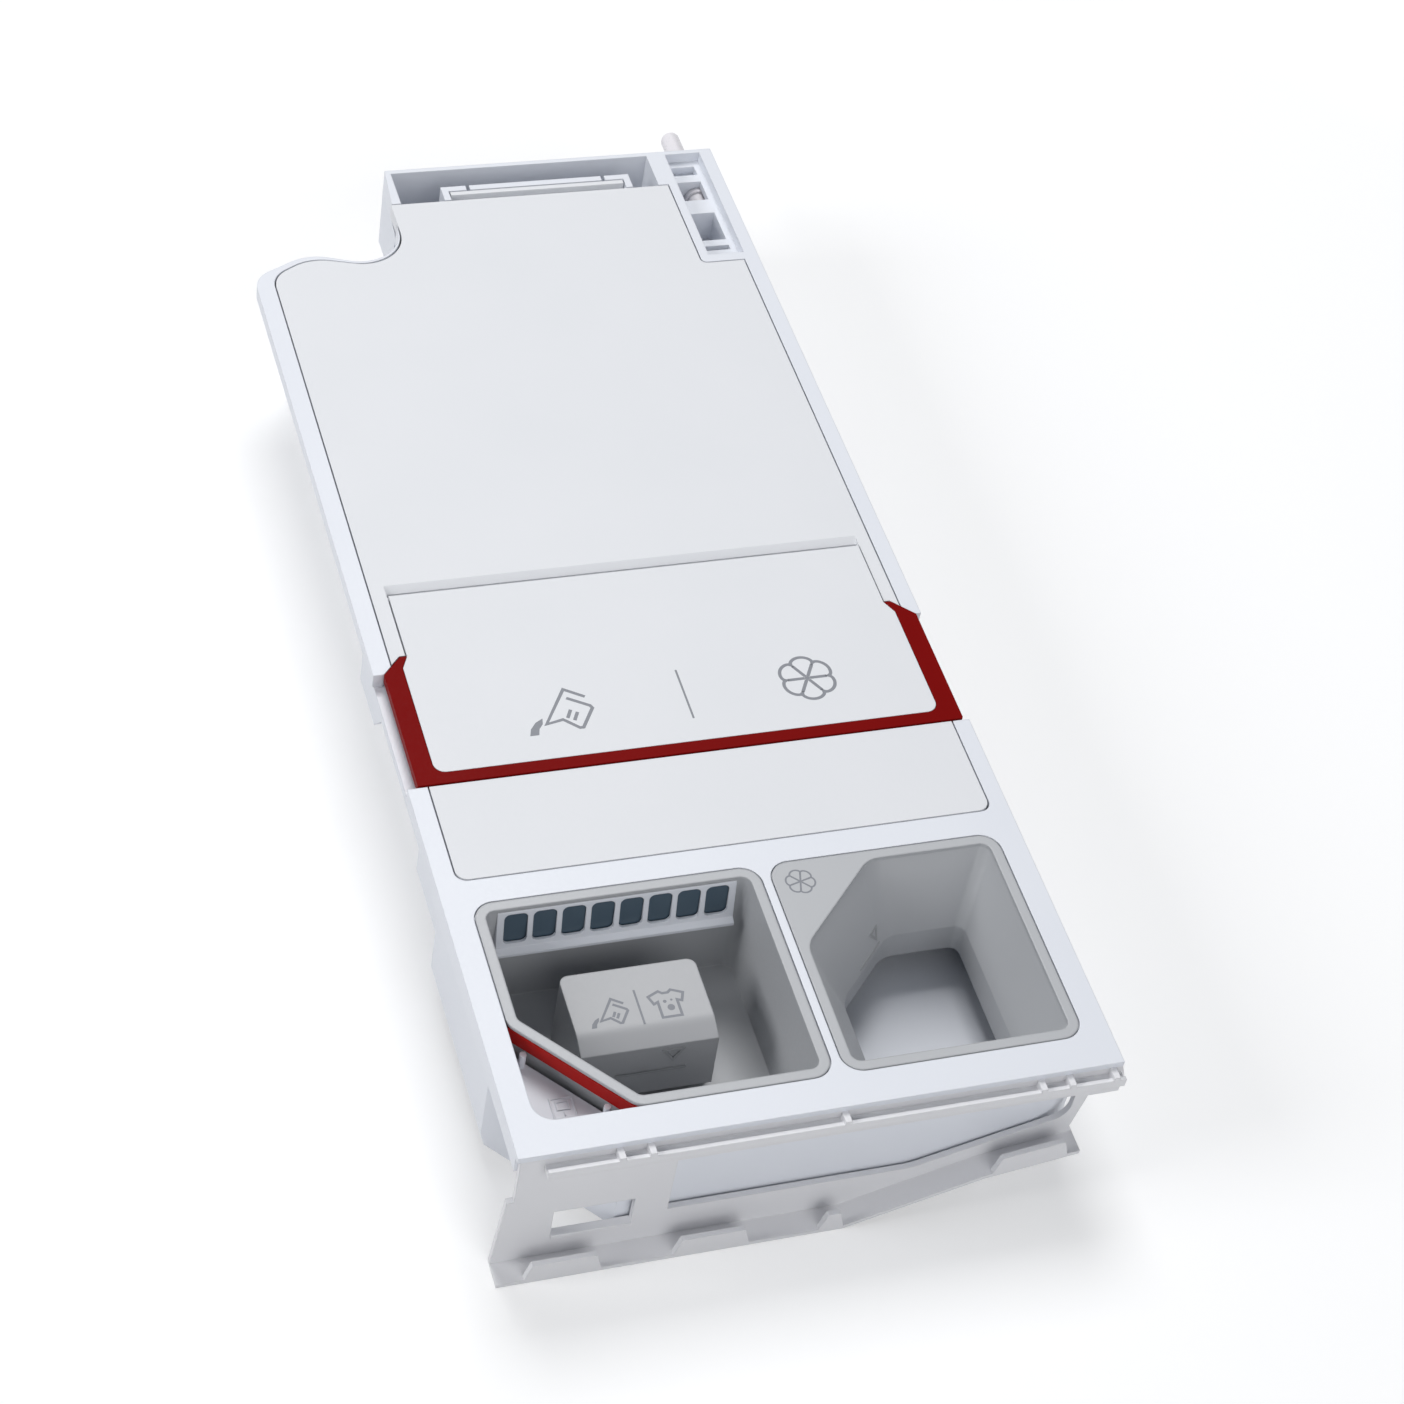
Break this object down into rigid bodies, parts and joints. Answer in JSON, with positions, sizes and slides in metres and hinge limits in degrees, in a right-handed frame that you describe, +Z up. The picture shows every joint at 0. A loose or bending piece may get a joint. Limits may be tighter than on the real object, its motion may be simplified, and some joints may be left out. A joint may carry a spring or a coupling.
{
  "type": "detergent dispenser drawer",
  "caption": "Auto-dosing washing-machine dispenser drawer: covered tanks with a hinged filling flap, lift-out detergent and softener cups, siphon cap and release catch.",
  "frame": {"origin": "on the flat underside of the tanks, below the middle of the top frame", "axes": "+Y to the rear, where the outlets are, +Z up through the cups' mouths, +X to the softener side"},
  "size_m": [0.195, 0.4782, 0.0544],
  "materials": {
    "white_frame": "satin white moulding",
    "white_cover": "fine-textured white moulding",
    "grey_cup": "satin grey moulding",
    "light_grey": "satin grey moulding",
    "red": "semi-gloss red moulding",
    "slate": "dark moulding",
    "seal": "soft rubber",
    "spring": "spring wire"
  },
  "bodies": {
    "drawer": {"drawer_body": "white_frame", "front_carrier": "white_frame", "tank_cover": "white_cover", "cover_gasket": "seal", "detergent_strainer": "white_frame", "softener_strainer": "white_frame", "detergent_cup": "grey_cup", "softener_cup": "grey_cup", "siphon_cap": "light_grey", "softener_siphon_cap": "light_grey", "water_grille": "white_frame", "water_duct": "slate", "catch_spring": "spring", "plunger_spring": "spring", "detergent_outlet": "white_frame", "detergent_seal": "seal", "detergent_valve": "seal", "softener_outlet": "white_frame", "softener_seal": "seal", "softener_valve": "seal"},
    "flap": {"flap_panel": "white_cover", "flap_base": "red", "flap_gasket": "seal"},
    "catch": {"release_catch": "red"},
    "plunger": {"rear_plunger": "white_frame"}
  },
  "joints": [
    {"name": "flap_hinge", "type": "hinge", "parent": "drawer", "child": "flap", "pos_m": [0, 0.00245, 0.0523], "axis": [-1, 0, 0], "range_deg": [0, 100]},
    {"name": "catch_slide", "type": "slide", "parent": "drawer", "child": "catch", "axis": [0, 0, -1], "range_m": [0, 0.004], "stiffness_N_per_m": 250, "springref_m": -0.002, "deforming": ["catch_spring"]},
    {"name": "plunger_slide", "type": "slide", "parent": "drawer", "child": "plunger", "axis": [0, -1, 0], "range_m": [0, 0.004], "stiffness_N_per_m": 250, "springref_m": -0.002, "deforming": ["plunger_spring"]}
  ]
}
